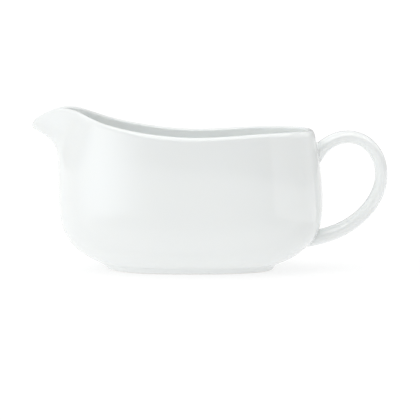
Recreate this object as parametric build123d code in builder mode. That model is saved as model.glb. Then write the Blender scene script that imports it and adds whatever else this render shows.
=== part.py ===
from build123d import *

import os
from math import copysign, cos, exp, pi, sin

# Porcelain gravy boat: a bowl slip-cast with its pouring spout, standing on an
# oval foot ring, with a loop handle luted to the wall by two beads of slip.
# Millimetres.  Origin on the table under the middle of the bounding box,
# -X towards the spout, +X towards the handle, +Z up.

# ---------------------------------------------------------------- dimensions
wall = 3.2                   # thickness of the bowl's wall and floor
foot_height = 3.2            # the bowl's underside above the table
lip_rounding = 1.45          # radius of both edges of the lip

side_fullness_spout = 2.4    # exponent of the oval outlines, spout half
side_fullness_handle = 2.7   # exponent of the oval outlines, handle half
spout_width = 12.0           # half width of the spout, outside
channel_width = 10.4         # half width of the spout's channel, inside
spout_shape = 2.2            # 2 is a bell-shaped channel, more is squarer
throat_offset = 23.0         # half distance between the two throat hollows
throat_width = 9.5           # spread of each throat hollow
shoulder_x = -55.0           # spout and throat fade out behind this station
shoulder_blend = 5.0         # length of that fade
outline_points = 80
outline_crowding = 0.6       # 0 spaces the points evenly, 1 crowds the spout

# Lines of the bowl and of its cavity, one row a level: height, spout end and
# handle end of the oval, its half depth, reach of the spout past the oval,
# depth of the hollows at the spout's throat.
bowl_lines = [
    (foot_height, -63.0, 39.0, 29.5, 0.0, 0.0),
    (7.0, -70.8, 47.9, 34.0, 0.0, 0.0),
    (12.0, -78.5, 55.3, 38.2, 0.0, 0.0),
    (18.0, -83.8, 61.1, 41.2, 0.0, 0.0),
    (26.0, -87.4, 65.1, 43.4, 0.0, 0.0),
    (36.0, -89.0, 66.5, 44.6, 0.0, 0.0),
    (50.0, -89.5, 66.1, 44.8, 0.0, 0.0),
    (64.0, -89.3, 64.5, 44.4, 0.4, 0.6),
    (70.0, -89.2, 63.5, 44.1, 1.3, 1.4),
    (76.0, -89.0, 62.5, 43.8, 4.6, 2.6),
    (80.0, -88.8, 61.8, 43.6, 9.8, 3.4),
    (84.0, -88.6, 61.0, 43.4, 18.2, 4.2),
    (90.0, -88.0, 59.8, 43.1, 31.0, 5.0),
    (98.0, -87.0, 58.0, 42.6, 48.0, 5.5),
]
cavity_lines = [
    (foot_height + wall, -61.5, 37.5, 27.5, 0.0, 0.0),
    (10.0, -69.4, 46.5, 32.2, 0.0, 0.0),
    (14.5, -76.4, 53.1, 36.0, 0.0, 0.0),
    (20.0, -81.2, 58.5, 38.6, 0.0, 0.0),
    (27.0, -84.3, 61.9, 40.5, 0.0, 0.0),
    (36.0, -85.8, 63.3, 41.4, 0.0, 0.0),
    (50.0, -86.3, 62.9, 41.6, 0.0, 0.0),
    (64.0, -86.1, 61.3, 41.2, 0.3, 0.6),
    (70.0, -86.0, 60.3, 40.9, 1.0, 1.4),
    (76.0, -85.8, 59.3, 40.6, 3.2, 2.6),
    (80.0, -85.6, 58.6, 40.4, 6.8, 3.4),
    (84.0, -85.4, 57.8, 40.2, 13.2, 4.2),
    (90.0, -84.8, 56.6, 39.9, 26.0, 5.0),
    (99.0, -83.7, 54.7, 39.3, 45.0, 5.5),
]

# Side view of the lip, from under the spout's tip to the handle end (x, z).
lip_line = [
    (-105.6, 81.0),
    (-105.1, 84.4),
    (-103.3, 87.8),
    (-97.0, 92.2),
    (-84.0, 95.6),
    (-68.0, 90.6),
    (-44.0, 84.0),
    (-12.0, 80.4),
    (26.0, 82.0),
    (48.0, 82.7),
    (57.0, 82.6),
    (66.0, 82.0),
]
beyond_lip = 60.0            # the cut above the lip reaches this far past it
lip_edge_heights = (75.0, 90.0)   # the lip's two long edges lie between these
lip_edge_length = 100.0      # and are longer than this

# The foot ring's outer oval at the bowl and on the table, and its recess.
foot_top = bowl_lines[0]
foot_sole = (0.0, -59.8, 37.4, 27.6, 0.0, 0.0)
foot_recess = (0.0, -55.0, 32.6, 22.8, 0.0, 0.0)

# Centre line of the handle strap, from the upper root to the lower one (x, z).
handle_line = [
    (58.0, 61.0),
    (64.8, 70.1),
    (72.45, 76.0),
    (82.1, 78.15),
    (92.0, 74.9),
    (99.2, 65.9),
    (101.3, 56.0),
    (98.4, 43.2),
    (91.2, 33.0),
    (80.65, 24.75),
    (68.0, 19.6),
    (57.0, 17.2),
]
handle_width = 11.0
handle_thickness = 7.25
upper_swell = 4.3            # extra thickness at the upper root
upper_swell_power = 6.0      # the higher, the closer to the root it starts
lower_swell = 1.8            # extra thickness at the lower root
lower_swell_power = 1.2
width_swell = 1.8            # extra width at both roots
width_swell_power = 4.0
handle_stations = 16
root_stations = 3            # stations from each end that lie in the slip bead

bead_thickness = 1.2         # slip between the wall and the strap's end
bead_spread = 0.9            # how far the slip stands out round the strap


def outline(level, half_spout, grow=0.0):
    """Points of the horizontal outline at one row of the lines."""
    height, spout_end, handle_end, half_depth, reach, throat = level
    middle = (spout_end + handle_end) / 2
    half_length = (handle_end - spout_end) / 2 + grow
    points = []
    for i in range(outline_points):
        turn = 2 * pi * i / outline_points
        angle = turn + outline_crowding * sin(turn)
        fullness = side_fullness_spout if cos(angle) < 0 else side_fullness_handle
        along = copysign(abs(cos(angle)) ** (2 / fullness), cos(angle))
        across = copysign(abs(sin(angle)) ** (2 / fullness), sin(angle))
        x = middle + half_length * along
        y = (half_depth + grow) * across
        near_spout = 1 / (1 + exp((x - shoulder_x) / shoulder_blend))
        channel = reach * exp(-abs(y / half_spout) ** spout_shape)
        hollow = throat * exp(-((abs(y) - throat_offset) / throat_width) ** 2)
        points.append((x - near_spout * (channel - hollow), y))
    return points


def outline_sketch(level, half_spout=spout_width, grow=0.0):
    """The outline as a face.  Even knots keep the rows in step with each other."""
    knots = [i / outline_points for i in range(outline_points + 1)]
    with BuildSketch(Plane.XY.offset(level[0])) as sketch:
        with BuildLine():
            points = outline(level, half_spout, grow)
            add(Edge.make_spline(points, periodic=True, parameters=knots))
        make_face()
    return sketch.sketch


def form(lines, half_spout, grow=0.0):
    """A solid through the outlines of every row of the lines."""
    with BuildPart() as solid_form:
        loft([outline_sketch(level, half_spout, grow) for level in lines])
    return solid_form.part


def strap(first, last, spread=0.0):
    """The handle's oval strap between two of its stations."""
    with BuildLine(Plane.XZ) as path:
        Spline(*handle_line)
    with BuildPart() as strap_form:
        for i in range(first, last + 1):
            along = i / handle_stations
            to_upper = max(0.0, 1 - 2 * along)
            to_lower = max(0.0, 2 * along - 1)
            thickness = handle_thickness + upper_swell * to_upper**upper_swell_power
            thickness += lower_swell * to_lower**lower_swell_power
            width = handle_width + width_swell * (to_upper + to_lower) ** width_swell_power
            centre = path.line @ along
            with BuildSketch(Plane(centre, x_dir=(0, 1, 0), z_dir=path.line % along)):
                Ellipse(width / 2 + spread, thickness / 2 + spread)
        loft()
    return strap_form.part


bowl_outside = form(bowl_lines, spout_width)
cavity = form(cavity_lines, channel_width)
bead_outside = form(bowl_lines, spout_width, bead_thickness)

# ---------------------------------------------------------------- bowl
with BuildPart() as bowl:
    add(bowl_outside)
    with BuildSketch(Plane.XZ):
        with BuildLine():
            lip = Spline(*lip_line)
            right_side = lip @ 1 + Vector(beyond_lip, 0)
            left_side = lip @ 0 - Vector(beyond_lip, 0)
            Polyline(
                lip @ 1,
                right_side,
                right_side + Vector(0, beyond_lip),
                left_side + Vector(0, beyond_lip),
                left_side,
                lip @ 0,
            )
        make_face()
    extrude(amount=beyond_lip, both=True, mode=Mode.SUBTRACT)
    add(cavity, mode=Mode.SUBTRACT)
    high_edges = bowl.edges().filter_by_position(Axis.Z, *lip_edge_heights)
    fillet(high_edges.filter_by(lambda edge: edge.length > lip_edge_length), lip_rounding)

# ---------------------------------------------------------------- foot ring
with BuildPart() as foot_ring:
    loft([outline_sketch(foot_sole), outline_sketch(foot_top)])
    extrude(outline_sketch(foot_recess), amount=foot_height, mode=Mode.SUBTRACT)

# ---------------------------------------------------------------- handle
with BuildPart() as handle:
    add(strap(0, handle_stations))
    add(bead_outside, mode=Mode.SUBTRACT)

# ---------------------------------------------------------------- slip beads
with BuildPart() as upper_handle_joint:
    add(strap(0, root_stations, bead_spread))
    add(bead_outside, mode=Mode.INTERSECT)
    add(bowl_outside, mode=Mode.SUBTRACT)

with BuildPart() as lower_handle_joint:
    add(strap(handle_stations - root_stations, handle_stations, bead_spread))
    add(bead_outside, mode=Mode.INTERSECT)
    add(bowl_outside, mode=Mode.SUBTRACT)

# ---------------------------------------------------------------- export
bowl.part.label = "bowl"
foot_ring.part.label = "foot_ring"
handle.part.label = "handle"
upper_handle_joint.part.label = "upper_handle_joint"
lower_handle_joint.part.label = "lower_handle_joint"

os.makedirs("parts", exist_ok=True)
export_step(bowl.part, "parts/bowl.step")
export_step(foot_ring.part, "parts/foot_ring.step")
export_step(handle.part, "parts/handle.step")
export_step(upper_handle_joint.part, "parts/upper_handle_joint.step")
export_step(lower_handle_joint.part, "parts/lower_handle_joint.step")
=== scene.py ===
import math

import bpy
import numpy as np
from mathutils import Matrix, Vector
from mathutils.bvhtree import BVHTree


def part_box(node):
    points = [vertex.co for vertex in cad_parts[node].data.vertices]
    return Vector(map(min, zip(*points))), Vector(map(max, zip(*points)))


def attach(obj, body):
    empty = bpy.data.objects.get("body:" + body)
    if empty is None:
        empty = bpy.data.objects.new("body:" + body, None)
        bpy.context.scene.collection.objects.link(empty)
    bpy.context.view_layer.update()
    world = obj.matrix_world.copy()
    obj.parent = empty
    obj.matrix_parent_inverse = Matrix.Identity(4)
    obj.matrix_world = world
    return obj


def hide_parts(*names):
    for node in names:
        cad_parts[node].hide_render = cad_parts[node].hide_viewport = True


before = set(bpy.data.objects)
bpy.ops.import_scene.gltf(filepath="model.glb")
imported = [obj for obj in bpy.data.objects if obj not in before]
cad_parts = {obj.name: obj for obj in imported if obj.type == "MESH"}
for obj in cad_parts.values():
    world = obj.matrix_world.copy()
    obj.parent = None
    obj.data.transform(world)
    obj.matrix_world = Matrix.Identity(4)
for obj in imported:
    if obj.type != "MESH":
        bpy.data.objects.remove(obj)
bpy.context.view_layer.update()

# Looks of the porcelain gravy boat.  The bowl's surfaces follow the same lines
# as the CAD model: rows of an oval outline with a spout pushed out of its end.
# Shapes are worked out in millimetres and written to the meshes in metres.
MM = 0.001
FOOT_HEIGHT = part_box("foot_ring")[1].z / MM

# Height, spout end and handle end of the oval, its half depth, reach of the
# spout past the oval, depth of the hollows at the spout's throat.
BOWL_LINES = [
    (FOOT_HEIGHT, -63.0, 39.0, 29.5, 0.0, 0.0),
    (7.0, -70.8, 47.9, 34.0, 0.0, 0.0),
    (12.0, -78.5, 55.3, 38.2, 0.0, 0.0),
    (18.0, -83.8, 61.1, 41.2, 0.0, 0.0),
    (26.0, -87.4, 65.1, 43.4, 0.0, 0.0),
    (36.0, -89.0, 66.5, 44.6, 0.0, 0.0),
    (50.0, -89.5, 66.1, 44.8, 0.0, 0.0),
    (64.0, -89.3, 64.5, 44.4, 0.4, 0.6),
    (70.0, -89.2, 63.5, 44.1, 1.3, 1.4),
    (76.0, -89.0, 62.5, 43.8, 4.6, 2.6),
    (80.0, -88.8, 61.8, 43.6, 9.8, 3.4),
    (84.0, -88.6, 61.0, 43.4, 18.2, 4.2),
    (90.0, -88.0, 59.8, 43.1, 31.0, 5.0),
    (98.0, -87.0, 58.0, 42.6, 48.0, 5.5),
]
CAVITY_LINES = [
    (6.4, -61.5, 37.5, 27.5, 0.0, 0.0),
    (10.0, -69.4, 46.5, 32.2, 0.0, 0.0),
    (14.5, -76.4, 53.1, 36.0, 0.0, 0.0),
    (20.0, -81.2, 58.5, 38.6, 0.0, 0.0),
    (27.0, -84.3, 61.9, 40.5, 0.0, 0.0),
    (36.0, -85.8, 63.3, 41.4, 0.0, 0.0),
    (50.0, -86.3, 62.9, 41.6, 0.0, 0.0),
    (64.0, -86.1, 61.3, 41.2, 0.3, 0.6),
    (70.0, -86.0, 60.3, 40.9, 1.0, 1.4),
    (76.0, -85.8, 59.3, 40.6, 3.2, 2.6),
    (80.0, -85.6, 58.6, 40.4, 6.8, 3.4),
    (84.0, -85.4, 57.8, 40.2, 13.2, 4.2),
    (90.0, -84.8, 56.6, 39.9, 26.0, 5.0),
    (99.0, -83.7, 54.7, 39.3, 45.0, 5.5),
]
SIDE_FULLNESS_SPOUT = 2.4     # exponent of the oval outlines, spout half
SIDE_FULLNESS_HANDLE = 2.7    # exponent of the oval outlines, handle half
SPOUT_WIDTH = 12.0            # half width of the spout, outside
CHANNEL_WIDTH = 10.4          # half width of the spout's channel, inside
SPOUT_SHAPE = 2.2             # 2 is a bell-shaped channel, more is squarer
THROAT_OFFSET = 23.0          # half distance between the two throat hollows
THROAT_WIDTH = 9.5            # spread of each throat hollow
SHOULDER_X = -55.0            # spout and throat fade out behind this station
SHOULDER_BLEND = 5.0          # length of that fade
CROWDING = 0.6                # 0 spaces the points evenly, 1 crowds the spout

# Side view of the lip (x, z), from under the spout's tip to the handle end.
LIP_LINE = [
    (-105.6, 81.0),
    (-105.1, 84.4),
    (-103.3, 87.8),
    (-97.0, 92.2),
    (-84.0, 95.6),
    (-68.0, 90.6),
    (-44.0, 84.0),
    (-12.0, 80.4),
    (26.0, 82.0),
    (48.0, 82.7),
    (57.0, 82.6),
    (66.0, 82.0),
]
LIP_LOWEST = 70.0             # the lip is looked for between these heights
LIP_HIGHEST = 97.5
OUTER_ROUNDING = 3.6          # how far down the round of each edge reaches
INNER_ROUNDING = 1.7

# The bowl's floor.
FLOOR_THICKNESS = 3.2
FLOOR_START = 11.0            # below this height the inside turns into the floor
FLOOR_PULL = 0.9              # how long the floor's curve keeps its end directions
FLOOR_SHARE = 0.985           # share of the way to the middle that has rings
UNDERSIDE_RISE = 0.5          # the underside is this much higher in its middle

# The foot ring: its outer oval on the table and its recess, as in the rows above.
FOOT_SOLE = (-59.8, 37.4, 27.6, 0.0, 0.0)
FOOT_RECESS = (-55.0, 32.6, 22.8, 0.0, 0.0)
FOOT_OVERLAP = 0.1            # the ring reaches this far into the bowl's underside
FOOT_FILLET = 0.7             # and blends this far up the bowl's side
RECESS_TOP_ROUND = 0.9        # height of the rounds at the recess's top and bottom
RECESS_EDGE_ROUND = 1.0

# Centre line of the handle strap, upper root to lower root (x, z).
HANDLE_LINE = [
    (58.0, 61.0),
    (64.8, 70.1),
    (72.45, 76.0),
    (82.1, 78.15),
    (92.0, 74.9),
    (99.2, 65.9),
    (101.3, 56.0),
    (98.4, 43.2),
    (91.2, 33.0),
    (80.65, 24.75),
    (68.0, 19.6),
    (57.0, 17.2),
]
HANDLE_WIDTH = 11.0
HANDLE_THICKNESS = 7.25
UPPER_SWELL = 4.3             # extra thickness at the upper root
UPPER_SWELL_POWER = 6.0       # the higher, the closer to the root it starts
LOWER_SWELL = 1.8             # extra thickness at the lower root
LOWER_SWELL_POWER = 1.2
WIDTH_SWELL = 1.8             # extra width at both roots
WIDTH_SWELL_POWER = 4.0
STRAP_FULLNESS = 2.2          # exponent of the strap's section, 2 is an ellipse
ROOT_SHARE = 0.16             # each root lies within this share of the strap
UPPER_FILLET = (1.1, 0.5)     # size of each slip fillet at the strap's flanks, and how
LOWER_FILLET = (1.4, 0.6)     # much larger it is outside the loop and smaller inside
FILLET_SINK = 0.02            # the fillets' edges lie this deep in the wall

# How finely the meshes follow the form.
AROUND_BOWL = 288
AROUND_STRAP = 64
WALL_RINGS = 72
WALL_CROWDING = 1.3           # above 1, the rings crowd towards the floor
EDGE_RINGS = 7
FLOOR_RINGS = 26
FOOT_RINGS = 5
FOOT_SIDE_RINGS = 6
STRAP_RINGS = 150
FILLET_RINGS = 10
TURN_SMOOTHING = 6            # turns to each side that the lip's facing is evened over


# ------------------------------------------------------------------ curves
def natural_cubic(knots, values):
    """A smooth function through the values at the knots, with free ends."""
    knots = np.asarray(knots, float)
    values = np.asarray(values, float)
    steps = np.diff(knots)
    slopes = np.diff(values, axis=0) / steps[:, None]
    count = len(knots)
    matrix = np.eye(count)
    right = np.zeros_like(values)
    for i in range(1, count - 1):
        matrix[i, i - 1 : i + 2] = steps[i - 1], 2 * (steps[i - 1] + steps[i]), steps[i]
        right[i] = 6 * (slopes[i] - slopes[i - 1])
    bends = np.linalg.solve(matrix, right)

    def evaluate(at):
        at = np.asarray(at, float)
        k = np.clip(np.searchsorted(knots, at) - 1, 0, count - 2)
        h = steps[k][..., None]
        a = (knots[k + 1] - at)[..., None] / h
        b = 1 - a
        curve = ((a**3 - a) * bends[k] + (b**3 - b) * bends[k + 1]) * h**2 / 6
        return a * values[k] + b * values[k + 1] + curve

    return evaluate


def through(points):
    """A smooth curve through points in a plane, by its chord length from 0 to 1."""
    points = np.asarray(points, float)
    chords = np.linalg.norm(np.diff(points, axis=0), axis=1)
    knots = np.concatenate([[0], np.cumsum(chords)])
    return natural_cubic(knots / knots[-1], points)


def bisect(low, high, too_high, steps=36):
    """The place between low and high where too_high turns true, in each entry."""
    low = np.array(low, float)
    high = np.array(high, float)
    for _ in range(steps):
        middle = (low + high) / 2
        above = too_high(middle)
        high = np.where(above, middle, high)
        low = np.where(above, low, middle)
    return (low + high) / 2


def between(first, second, share):
    """The place that lies a share of the way from the first to the second."""
    return first + (second - first) * share


def rounded(start, corner, end, steps):
    """Points of the round that replaces a corner, a quarter circle where it is square."""
    rows = []
    for i in range(steps + 1):
        u = i / steps
        a, b, c = (1 - u) ** 2, 2 * u * (1 - u) * math.sqrt(0.5), u**2
        rows.append((a * start + b * corner + c * end) / (a + b + c))
    return rows


# ------------------------------------------------------------------ bowl form
bowl_lines = natural_cubic([row[0] for row in BOWL_LINES], [row[1:] for row in BOWL_LINES])
cavity_lines = natural_cubic([row[0] for row in CAVITY_LINES], [row[1:] for row in CAVITY_LINES])


def outline(measures, half_spout, turn, height):
    """Points on the oval outline with the spout pushed out of its end."""
    spout_end, handle_end, half_depth, reach, throat = np.moveaxis(np.asarray(measures), -1, 0)
    angle = turn + CROWDING * np.sin(turn)
    fullness = np.where(np.cos(angle) < 0, SIDE_FULLNESS_SPOUT, SIDE_FULLNESS_HANDLE)
    along = np.copysign(np.abs(np.cos(angle)) ** (2 / fullness), np.cos(angle))
    across = np.copysign(np.abs(np.sin(angle)) ** (2 / fullness), np.sin(angle))
    x = (spout_end + handle_end) / 2 + (handle_end - spout_end) / 2 * along
    y = half_depth * across
    near_spout = 1 / (1 + np.exp((x - SHOULDER_X) / SHOULDER_BLEND))
    channel = reach * np.exp(-np.abs(y / half_spout) ** SPOUT_SHAPE)
    hollow = throat * np.exp(-(((np.abs(y) - THROAT_OFFSET) / THROAT_WIDTH) ** 2))
    x = x - near_spout * (channel - hollow)
    return np.stack([x, y, np.broadcast_to(height, x.shape)], -1)


def outside(height, turn):
    return outline(bowl_lines(height), SPOUT_WIDTH, turn, height)


def inside(height, turn):
    return outline(cavity_lines(height), CHANNEL_WIDTH, turn, height)


lip_points = through(LIP_LINE)(np.linspace(0, 1, 2000))


def lip_height(x):
    return np.interp(x, lip_points[:, 0], lip_points[:, 1])


def lip_edge(surface, turn):
    """Height at which a surface meets the lip line, for each turn."""
    low = np.full(turn.shape, LIP_LOWEST)
    high = np.full(turn.shape, LIP_HIGHEST)
    return bisect(low, high, lambda z: z > lip_height(surface(z, turn)[..., 0]))


def below_edge(surface, turn, edge, distance):
    """Height of the point that lies a distance below the lip's edge, along the surface."""
    corner = surface(edge, turn)

    def too_high(z):
        return np.linalg.norm(surface(z, turn) - corner, axis=-1) < distance

    return bisect(edge - 3 * distance, edge, too_high)


turns = np.linspace(0, 2 * math.pi, AROUND_BOWL, endpoint=False)


def facing_turns():
    """For each turn outside, the turn inside whose lip edge is nearest."""
    fine = np.linspace(0, 2 * math.pi, 8 * AROUND_BOWL, endpoint=False)
    edge = inside(lip_edge(inside, fine), fine)
    found = []
    for point in outside(lip_edge(outside, turns), turns):
        found.append(fine[np.argmin(np.linalg.norm(edge - point, axis=1))])
    found = np.unwrap(np.array(found))
    before = found[-TURN_SMOOTHING:] - 2 * math.pi
    after = found[:TURN_SMOOTHING] + 2 * math.pi
    ring = np.concatenate([before, found, after])
    kernel = np.hanning(2 * TURN_SMOOTHING + 3)[1:-1]
    return np.convolve(ring, kernel / kernel.sum(), mode="valid")


# ------------------------------------------------------------------ mesh making
def ring_faces(ring_count, around, closed=False):
    """Four-sided faces between neighbouring rings of points, numbered ring by ring."""
    faces = []
    for ring in range(ring_count if closed else ring_count - 1):
        low = ring * around
        high = (ring + 1) % ring_count * around
        for i in range(around):
            j = (i + 1) % around
            faces.append((low + i, low + j, high + j, high + i))
    return faces


def grid_object(name, rows, closed=False, caps=(False, False), normals=None):
    """A mesh object of rings of points in millimetres.  Caps close its first and last
    ring with a point, closed joins its last ring to its first."""
    rows = np.array(rows)
    ring_count, around = rows.shape[:2]
    points = rows.reshape(-1, 3)
    faces = ring_faces(ring_count, around, closed)
    extra = []
    extra_normals = []
    for end, wanted in enumerate(caps):
        if not wanted:
            continue
        ring = rows[-1] if end else rows[0]
        start = (ring_count - 1) * around if end else 0
        tip = len(points) + len(extra)
        extra.append(ring.mean(axis=0))
        for i in range(around):
            j = (i + 1) % around
            face = (start + i, start + j, tip)
            faces.append(face if end else face[::-1])
        across = np.cross(ring - extra[-1], np.roll(ring, -1, axis=0) - extra[-1]).sum(axis=0)
        extra_normals.append((across if end else -across) / np.linalg.norm(across))
    if extra:
        points = np.concatenate([points, extra])
    mesh = bpy.data.meshes.new(name)
    mesh.from_pydata((points * MM).tolist(), [], faces)
    mesh.shade_smooth()
    if normals is not None:
        every = normals.reshape(-1, 3).tolist() + [list(n) for n in extra_normals]
        mesh.normals_split_custom_set_from_vertices(every)
    piece = bpy.data.objects.new(name, mesh)
    bpy.context.scene.collection.objects.link(piece)
    return piece


def grid_normals(rows):
    """Outward unit normals of rings of points."""
    rows = np.array(rows)
    around = np.roll(rows, -1, axis=1) - np.roll(rows, 1, axis=1)
    along = np.gradient(rows, axis=0)
    normals = np.cross(around, along)
    return normals / np.linalg.norm(normals, axis=-1, keepdims=True)


def surface_normals(surface, height, turn):
    """Outward normals of a surface of the bowl."""
    step = 1e-3
    around = surface(height, turn + step) - surface(height, turn - step)
    up = surface(height + step, turn) - surface(height - step, turn)
    normals = np.cross(around, up)
    return normals / np.linalg.norm(normals, axis=-1, keepdims=True)


# ------------------------------------------------------------------ bowl
def floor_rings(edge, downward):
    """Rings of the inside floor, from the wall's last ring to near its middle."""
    centre = np.array([edge[:, 0].mean(), 0.0, FOOT_HEIGHT + FLOOR_THICKNESS])
    inward = centre - edge
    inward[:, 2] = 0
    length = np.linalg.norm(inward, axis=1, keepdims=True)
    rings = []
    for i in range(1, FLOOR_RINGS):
        u = i / FLOOR_RINGS * FLOOR_SHARE
        start = 2 * u**3 - 3 * u**2 + 1
        end = 3 * u**2 - 2 * u**3
        leave = (u**3 - 2 * u**2 + u) * FLOOR_PULL
        arrive = (u**3 - u**2) * FLOOR_PULL
        ring = edge * start + centre * end + downward * length * leave + inward * arrive
        rings.append(ring)
    return rings


def bowl_rings():
    """Rings from the middle of the underside, up the outside, over the lip and down inside."""
    inner_turns = facing_turns()
    outer_edge = lip_edge(outside, turns)
    inner_edge = lip_edge(inside, inner_turns)
    outer_corner = outside(outer_edge, turns)
    inner_corner = inside(inner_edge, inner_turns)
    crown = (outer_corner + inner_corner) / 2
    outer_top = below_edge(outside, turns, outer_edge, OUTER_ROUNDING)
    inner_top = below_edge(inside, inner_turns, inner_edge, INNER_ROUNDING)

    foot = np.full(turns.shape, FOOT_HEIGHT)
    first = outside(foot, turns)
    middle = first.mean(axis=0) + (0, 0, UNDERSIDE_RISE)
    rings = [between(middle, first, share) for share in (0.04, 0.2, 0.4, 0.6, 0.8, 0.95)]
    for i in range(WALL_RINGS):
        share = (i / WALL_RINGS) ** WALL_CROWDING
        rings.append(outside(between(foot, outer_top, share), turns))
    rings += rounded(outside(outer_top, turns), outer_corner, crown, EDGE_RINGS)
    rings += rounded(crown, inner_corner, inside(inner_top, inner_turns), EDGE_RINGS)[1:]
    floor_start = np.full(turns.shape, FLOOR_START)
    for i in range(1, WALL_RINGS + 1):
        share = 1 - (1 - i / WALL_RINGS) ** WALL_CROWDING
        rings.append(inside(between(inner_top, floor_start, share), inner_turns))

    edge = rings[-1]
    a_little_higher = 0.2
    downward = edge - inside(floor_start + a_little_higher, inner_turns)
    downward /= np.linalg.norm(downward, axis=1, keepdims=True)
    return rings + floor_rings(edge, downward)


bowl = grid_object("porcelain_bowl", bowl_rings(), caps=(True, True))

# Outer surface of the bowl alone, to fit the handle's roots to.
wall_heights = np.linspace(5, 80, 120)
wall_rings = [outside(np.full(turns.shape, height), turns) for height in wall_heights]
wall_points = np.array(wall_rings).reshape(-1, 3)
wall_tree = BVHTree.FromPolygons(wall_points.tolist(), ring_faces(len(wall_rings), AROUND_BOWL))


def off_wall(points):
    """Distance of points outside the bowl's wall, negative inside it."""
    found = []
    for point in points:
        spot, normal, _, distance = wall_tree.find_nearest(Vector(point))
        found.append(math.copysign(distance, (Vector(point) - spot).dot(normal)))
    return np.array(found)


# ------------------------------------------------------------------ foot ring
def foot_rings():
    """Rings of the foot's profile, from the recess over the sole to the bowl's side.
    The shares say where along a side of the profile its rounds begin and end."""
    def level(measures, height):
        tiled = np.broadcast_to(measures, turns.shape + (5,))
        return outline(tiled, SPOUT_WIDTH, turns, height)

    top = level(BOWL_LINES[0][1:], FOOT_HEIGHT)
    sole = level(FOOT_SOLE, 0.0)
    recess = level(FOOT_RECESS, 0.0)
    recess_top = recess + (0, 0, FOOT_HEIGHT + FOOT_OVERLAP)
    recess_end = between(recess_top, recess_top.mean(axis=0), 0.05)
    below_top = recess_top - (0, 0, RECESS_TOP_ROUND)
    above_edge = recess + (0, 0, RECESS_EDGE_ROUND)
    side_height = np.full(turns.shape, FOOT_HEIGHT + FOOT_FILLET)
    side = outside(side_height, turns)
    rings = rounded(recess_end, recess_top, below_top, FOOT_RINGS)
    rings += rounded(above_edge, recess, between(sole, recess, 0.75), FOOT_RINGS)
    rings += rounded(between(sole, recess, 0.3), sole, between(top, sole, 0.7), FOOT_SIDE_RINGS)
    rings += rounded(between(top, sole, 0.34), top, side, FOOT_SIDE_RINGS)
    normals = grid_normals(rings)
    normals[0] = (0, 0, -1)
    normals[-1] = surface_normals(outside, side_height, turns)
    return rings, normals


rings, normals = foot_rings()
foot_ring = grid_object("porcelain_foot_ring", rings, closed=True, normals=normals)

# ------------------------------------------------------------------ handle
handle_line = through(HANDLE_LINE)


def strap_point(along, side):
    """Point of the strap's surface at a place along it and an angle round it."""
    step = 1e-4
    centre = handle_line(along)
    heading = handle_line(along + step) - handle_line(along - step)
    heading /= np.linalg.norm(heading, axis=-1, keepdims=True)
    outward = np.stack([-heading[..., 1], heading[..., 0]], -1)
    to_upper = np.clip(1 - 2 * along, 0, 1)
    to_lower = np.clip(2 * along - 1, 0, 1)
    swell = UPPER_SWELL * to_upper**UPPER_SWELL_POWER + LOWER_SWELL * to_lower**LOWER_SWELL_POWER
    widening = WIDTH_SWELL * (to_upper + to_lower) ** WIDTH_SWELL_POWER
    across = np.copysign(np.abs(np.cos(side)) ** (2 / STRAP_FULLNESS), np.cos(side))
    raised = np.copysign(np.abs(np.sin(side)) ** (2 / STRAP_FULLNESS), np.sin(side))
    lift = (HANDLE_THICKNESS + swell) / 2 * raised
    flat = centre + outward * lift[..., None]
    return np.stack([flat[..., 0], (HANDLE_WIDTH + widening) / 2 * across, flat[..., 1]], -1)


sides = np.linspace(0, 2 * math.pi, AROUND_STRAP, endpoint=False)


def root(first, last, spread):
    """Where the strap meets the wall.  Gives the places along the strap where the fillet
    leaves it, those points, the corner on the wall, and the points and wall's normals
    where the fillet ends."""
    start = np.full(sides.shape, first)
    end = np.full(sides.shape, last)
    if first < last:
        meet = bisect(start, end, lambda s: off_wall(strap_point(s, sides)) > 0, 24)
    else:
        meet = bisect(end, start, lambda s: off_wall(strap_point(s, sides)) < 0, 24)
    corner = strap_point(meet, sides)
    middle = corner.mean(axis=0)
    toward = 1 if first < last else -1
    total = np.linalg.norm(np.diff(handle_line(np.linspace(0, 1, 400)), axis=0), axis=1).sum()
    leave = meet + toward * spread / total
    on_strap = strap_point(leave, sides)
    on_wall = []
    wall_normals = []
    for k, point in enumerate(corner):
        spot, normal, _, _ = wall_tree.find_nearest(Vector(point))
        away = Vector(point - middle)
        away -= normal * away.dot(normal)
        away.normalize()
        spot, normal, _, _ = wall_tree.find_nearest(Vector(point) + away * spread[k])
        on_wall.append(spot - normal * FILLET_SINK)
        wall_normals.append(normal)
    return leave, on_strap, corner, np.array(on_wall), np.array(wall_normals)


upper_spread = UPPER_FILLET[0] + UPPER_FILLET[1] * np.sin(sides)
lower_spread = LOWER_FILLET[0] + LOWER_FILLET[1] * np.sin(sides)
top_leave, top_strap, top_corner, top_wall, top_normals = root(0.0, ROOT_SHARE, upper_spread)
low_leave, low_strap, low_corner, low_wall, low_normals = root(1.0, 1 - ROOT_SHARE, lower_spread)

upper_rings = rounded(top_wall, top_corner, top_strap, FILLET_RINGS)
lower_rings = rounded(low_strap, low_corner, low_wall, FILLET_RINGS)
strap_rings = []
for i in range(STRAP_RINGS + 1):
    place = top_leave + (low_leave - top_leave) * i / STRAP_RINGS
    strap_rings.append(strap_point(place, sides))

whole = upper_rings[:-1] + strap_rings + lower_rings[1:]
whole_normals = grid_normals(whole)
whole_normals[0] = top_normals
whole_normals[-1] = low_normals
strap_from = FILLET_RINGS
strap_to = FILLET_RINGS + STRAP_RINGS


def handle_piece(name, first, last):
    part = slice(first, last + 1)
    return grid_object(name, whole[part], caps=(True, True), normals=whole_normals[part])


upper_slip = handle_piece("slip_fillet_upper", 0, strap_from)
handle = handle_piece("porcelain_handle", strap_from, strap_to)
lower_slip = handle_piece("slip_fillet_lower", strap_to, len(whole) - 1)


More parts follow.
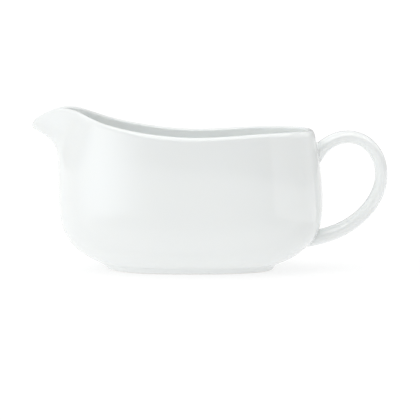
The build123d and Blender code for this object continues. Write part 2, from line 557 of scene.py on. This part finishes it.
# ------------------------------------------------------------------ materials
PORCELAIN_TONES = (0.880, 0.904, 0.898, 1), (0.892, 0.914, 0.909, 1)
BARE_PORCELAIN = (0.80, 0.785, 0.755, 1)
GLAZE_ROUGHNESS = 0.07
BARE_ROUGHNESS = 0.75
BARE_BELOW = 0.0004           # metres above the table where the bare sole ends
GLAZE_EDGE = 0.0003           # height over which the glaze thins out there


def new_material(name):
    """A new material, with its nodes, its links and its surface shader."""
    material = bpy.data.materials.new(name)
    material.use_nodes = True
    nodes = material.node_tree.nodes
    links = material.node_tree.links
    return material, nodes, links, nodes["Principled BSDF"]


def porcelain(name, bare_below=None):
    """Clear gloss glaze over a cool white body, with the glaze's faint unevenness.
    Below the height bare_below the glaze is wiped off and the dry body shows."""
    material, nodes, links, shader = new_material(name)
    place = nodes.new("ShaderNodeTexCoord")
    tone = nodes.new("ShaderNodeTexNoise")
    tone.inputs["Scale"].default_value = 18.0
    tone.inputs["Detail"].default_value = 2.0
    tint = nodes.new("ShaderNodeMix")
    tint.data_type = "RGBA"
    tint.inputs["A"].default_value = PORCELAIN_TONES[0]
    tint.inputs["B"].default_value = PORCELAIN_TONES[1]
    links.new(place.outputs["Object"], tone.inputs["Vector"])
    links.new(tone.outputs["Fac"], tint.inputs["Factor"])
    links.new(tint.outputs["Result"], shader.inputs["Base Color"])

    ripple = nodes.new("ShaderNodeTexNoise")
    ripple.inputs["Scale"].default_value = 70.0
    ripple.inputs["Detail"].default_value = 1.0
    bump = nodes.new("ShaderNodeBump")
    bump.inputs["Strength"].default_value = 0.08
    bump.inputs["Distance"].default_value = 0.00008
    links.new(place.outputs["Object"], ripple.inputs["Vector"])
    links.new(ripple.outputs["Fac"], bump.inputs["Height"])
    links.new(bump.outputs["Normal"], shader.inputs["Normal"])

    shader.inputs["Roughness"].default_value = GLAZE_ROUGHNESS
    shader.inputs["IOR"].default_value = 1.52
    shader.inputs["Subsurface Weight"].default_value = 0.12
    shader.inputs["Subsurface Radius"].default_value = (1.0, 0.95, 0.85)
    shader.inputs["Subsurface Scale"].default_value = 0.003
    if bare_below is None:
        return material

    height = nodes.new("ShaderNodeSeparateXYZ")
    bare = nodes.new("ShaderNodeMapRange")
    bare.interpolation_type = "SMOOTHSTEP"
    bare.inputs["From Min"].default_value = bare_below + GLAZE_EDGE
    bare.inputs["From Max"].default_value = bare_below
    wiped = nodes.new("ShaderNodeMix")
    wiped.data_type = "RGBA"
    wiped.inputs["B"].default_value = BARE_PORCELAIN
    dryness = nodes.new("ShaderNodeMix")
    dryness.inputs["A"].default_value = GLAZE_ROUGHNESS
    dryness.inputs["B"].default_value = BARE_ROUGHNESS
    links.new(place.outputs["Object"], height.inputs["Vector"])
    links.new(height.outputs["Z"], bare.inputs["Value"])
    links.new(bare.outputs["Result"], wiped.inputs["Factor"])
    links.new(tint.outputs["Result"], wiped.inputs["A"])
    links.new(wiped.outputs["Result"], shader.inputs["Base Color"])
    links.new(bare.outputs["Result"], dryness.inputs["Factor"])
    links.new(dryness.outputs["Result"], shader.inputs["Roughness"])
    return material


glaze = porcelain("clear_glaze_on_white_porcelain")
foot_glaze = porcelain("glazed_porcelain_with_bare_sole", BARE_BELOW)


def put(piece, slot, *nodes, material=glaze):
    """Give a piece its material, hang it under the root body and hide the nodes of the part that
    it stands for.
    """
    piece.data.materials.append(material)
    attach(piece, "root")
    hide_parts(*nodes)


put(bowl, "glazed_body", "bowl")
put(foot_ring, "foot", "foot_ring", material=foot_glaze)
put(handle, "glazed_handle", "handle")
put(upper_slip, "glazed_slip", "upper_handle_joint")
put(lower_slip, "glazed_slip", "lower_handle_joint")


# ------------------------------------------------------------------ stage
FLOOR_REACH = 6.0             # metres from the middle to each side
FLOOR_GREY = 0.40
FLOOR_GLOW = 0.63
BACKDROP_RADIUS = 5.9         # metres
BACKDROP_HEIGHT = 4.0
BACKDROP_STEPS = 96
BACKDROP_GLOW = 1.1           # enough to show as pure white


def stage_object(name, material_name, corners, faces, grey, glow):
    """An object of the stage that also glows by itself, and its surface shader."""
    mesh = bpy.data.meshes.new(name)
    mesh.from_pydata(corners, [], faces)
    piece = bpy.data.objects.new(name, mesh)
    bpy.context.scene.collection.objects.link(piece)
    material, _, _, shader = new_material(material_name)
    shader.inputs["Base Color"].default_value = (grey, grey, grey, 1)
    shader.inputs["Emission Color"].default_value = (1, 1, 1, 1)
    shader.inputs["Emission Strength"].default_value = glow
    piece.data.materials.append(material)
    return piece, shader


def floor():
    """The dull table top, which glows a little so that its shadows stay faint."""
    far = FLOOR_REACH
    corners = [(-far, -far, 0), (far, -far, 0), (far, far, 0), (-far, far, 0)]
    faces = [(0, 1, 2, 3)]
    _, shader = stage_object("floor", "pale_floor", corners, faces, FLOOR_GREY, FLOOR_GLOW)
    shader.inputs["Roughness"].default_value = 1.0
    shader.inputs["Specular IOR Level"].default_value = 0.0


def backdrop():
    """The white wall round the table, only there to be looked at: it lights nothing."""
    corners = []
    for height in (0.0, BACKDROP_HEIGHT):
        for i in range(BACKDROP_STEPS):
            turn = 2 * math.pi * i / BACKDROP_STEPS
            x = BACKDROP_RADIUS * math.cos(turn)
            y = BACKDROP_RADIUS * math.sin(turn)
            corners.append((x, y, height))
    faces = ring_faces(2, BACKDROP_STEPS)
    wall, _ = stage_object("backdrop", "white_backdrop", corners, faces, 0.0, BACKDROP_GLOW)
    wall.visible_diffuse = False
    wall.visible_glossy = False
    wall.visible_transmission = False
    wall.visible_shadow = False


# Studio tent: an even glow and wide soft lights in it, each a direction (degrees to
# the right of the camera's side, degrees up), a tightness and a brightness.
TENT_GLOW = 0.25
TENT_LIGHTS = [
    ("top", 180, 78, 2, 1.08),
    ("back_right", 125, 15, 2, 0.28),
    ("left_top", -85, 45, 4, 0.56),
    ("window_left", -52, 12, 10, 0.92),
    ("window_front", -30, 10, 10, 0.22),
    ("window_top", -30, 45, 10, 0.36),
]


def direction(azimuth, elevation):
    """The unit vector toward a light, from degrees to the right of the camera's side and up."""
    a, e = math.radians(azimuth), math.radians(elevation)
    return Vector((math.sin(a) * math.cos(e), -math.cos(a) * math.cos(e), math.sin(e)))


def tent():
    """The world's own light, which is the even glow plus every soft light."""
    world = bpy.data.worlds.new("studio_tent")
    world.use_nodes = True
    nodes = world.node_tree.nodes
    links = world.node_tree.links

    def math_node(operation, first, second):
        node = nodes.new("ShaderNodeMath")
        node.operation = operation
        for socket, value in zip(node.inputs, (first, second)):
            if isinstance(value, (int, float)):
                socket.default_value = value
            else:
                links.new(value, socket)
        return node.outputs[0]

    looking = nodes.new("ShaderNodeTexCoord").outputs["Generated"]
    total = TENT_GLOW
    for name, azimuth, elevation, tightness, brightness in TENT_LIGHTS:
        toward = nodes.new("ShaderNodeVectorMath")
        toward.name = name
        toward.operation = "DOT_PRODUCT"
        toward.inputs[1].default_value = direction(azimuth, elevation)
        links.new(looking, toward.inputs[0])
        facing = math_node("MAXIMUM", toward.outputs["Value"], 0.0)
        lobe = math_node("POWER", facing, float(tightness))
        total = math_node("ADD", math_node("MULTIPLY", lobe, brightness), total)
    background = nodes["Background"]
    background.inputs["Color"].default_value = (1, 1, 1, 1)
    links.new(total, background.inputs["Strength"])
    bpy.context.scene.world = world


# Lights that only the glaze shows.
COOL_WHITE = (0.86, 0.93, 1.0)


def reflected_light(name, shape, target, azimuth, elevation, distance, power):
    """A light that faces a target and only shows as a reflection in the glaze."""
    light = bpy.data.lights.new(name, "AREA")
    light.shape = shape
    light.energy = power
    lamp = bpy.data.objects.new(name, light)
    lamp.location = Vector(target) + direction(azimuth, elevation) * distance
    lamp.rotation_mode = "QUATERNION"
    lamp.rotation_quaternion = direction(azimuth, elevation).to_track_quat("Z", "Y")
    lamp.visible_camera = False
    lamp.visible_diffuse = False
    bpy.context.scene.collection.objects.link(lamp)
    return light


def soft_light(name, target, azimuth, elevation, distance, size, power):
    """A cool round light that fades out toward its rim."""
    light = reflected_light(name, "SQUARE", target, azimuth, elevation, distance, power)
    light.size = size
    light.color = COOL_WHITE
    light.use_nodes = True
    nodes = light.node_tree.nodes
    links = light.node_tree.links
    place = nodes.new("ShaderNodeNewGeometry")
    from_middle = nodes.new("ShaderNodeVectorMath")
    from_middle.operation = "DISTANCE"
    from_middle.inputs[1].default_value = (0.5, 0.5, 0)
    fade = nodes.new("ShaderNodeMapRange")
    fade.interpolation_type = "SMOOTHSTEP"
    fade.inputs["From Min"].default_value = 0.5
    fade.inputs["From Max"].default_value = 0.0
    links.new(place.outputs["Parametric"], from_middle.inputs[0])
    links.new(from_middle.outputs["Value"], fade.inputs["Value"])
    links.new(fade.outputs["Result"], nodes["Emission"].inputs["Strength"])


def softbox(name, target, azimuth, elevation, distance, width, height, power):
    """A panel of light with sharp edges."""
    light = reflected_light(name, "RECTANGLE", target, azimuth, elevation, distance, power)
    light.size = width
    light.size_y = height


floor()
backdrop()
tent()

# The glaze mirrors a box overhead along the lip, one at the right whose near edge shows
# on the wall, one behind the handle end, the bright table just in front of the boat, and
# a window at the left.  Each has a target, degrees to the right of the camera's side and
# up, a distance, its size and its power, in metres and watts.
softbox("overhead_box", (0, 0, 0.08), 28, 60, 1.5, 2.4, 1.5, 28.0)
softbox("right_box", (0.036, -0.039, 0.085), 80, 0, 0.10, 0.186, 0.16, 0.075)
softbox("rim_box", (0.06, 0, 0.08), 108, 38, 1.5, 1.6, 1.3, 5.0)
softbox("table_front", (0, -0.073, 0.001), 0, -90, 0.0005, 0.4, 0.05, 0.022)
soft_light("key_left", (-0.06, -0.038, 0.05), -48, 0, 0.13, 0.26, 0.37)

# ------------------------------------------------------------------ camera
CAMERA_DISTANCE = 1.0         # metres in front of the boat's middle
CAMERA_HEIGHT = 0.1446
LENS = 145.4                  # millimetres, on a sensor this wide
SENSOR = 36.0
TILT = math.radians(6.27)     # looking down

camera_data = bpy.data.cameras.new("camera")
camera_data.lens = LENS
camera_data.sensor_width = SENSOR
camera = bpy.data.objects.new("camera", camera_data)
camera.location = (0, -CAMERA_DISTANCE, CAMERA_HEIGHT)
camera.rotation_euler = (math.pi / 2 - TILT, 0, 0)
bpy.context.scene.collection.objects.link(camera)
bpy.context.scene.camera = camera
bpy.context.scene.view_settings.view_transform = "Standard"
